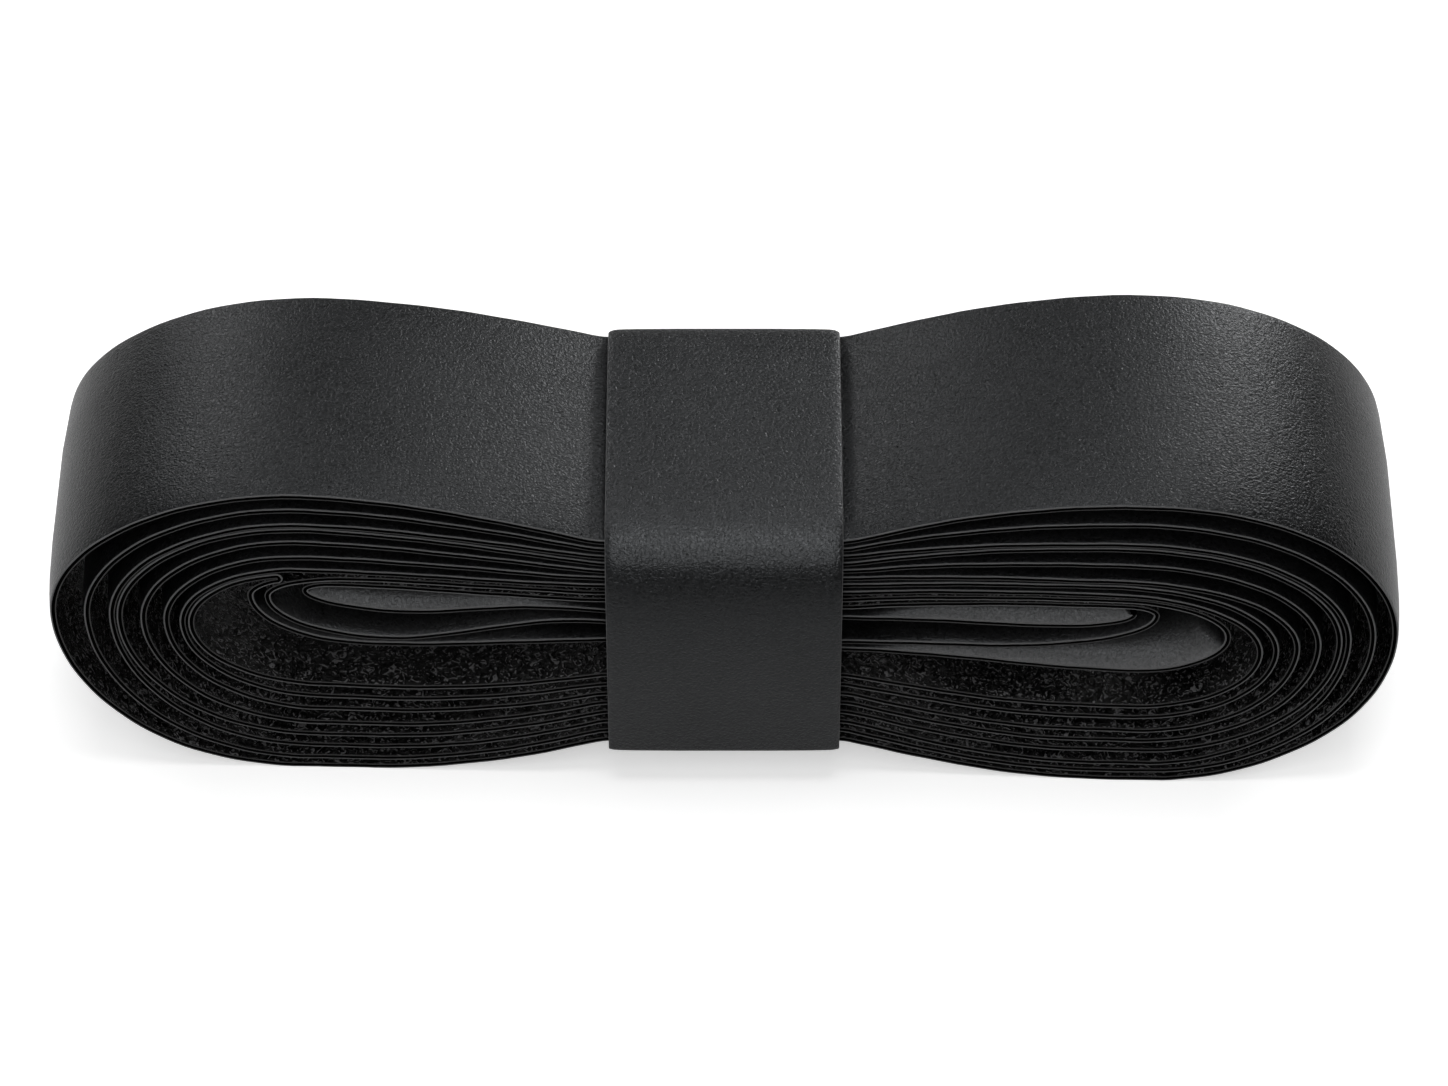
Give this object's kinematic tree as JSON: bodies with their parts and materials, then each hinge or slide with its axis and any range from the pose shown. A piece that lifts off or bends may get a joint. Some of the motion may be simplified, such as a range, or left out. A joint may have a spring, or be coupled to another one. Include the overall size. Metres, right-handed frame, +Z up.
{
  "type": "roll of bicycle handlebar tape",
  "caption": "Flat-wound roll of soft handlebar tape, pinched at the waist by a short band of the same tape so that both ends open into loose lobes of nested turns.",
  "frame": {"origin": "on the surface the roll lies on, under the middle of its outer box", "axes": "+X along the roll from the left lobe to the right one, +Y across the tape's width away from the viewer, +Z up"},
  "size_m": [0.1422, 0.0334, 0.0444],
  "materials": {
    "tape": "matt black synthetic leather with a very fine grain outside and a coarse woven-like backing inside",
    "band": "the same matt black synthetic leather, fine grain outside"
  },
  "bodies": {
    "root": {"tape_roll": "tape", "tape_band": "band"}
  },
  "joints": []
}
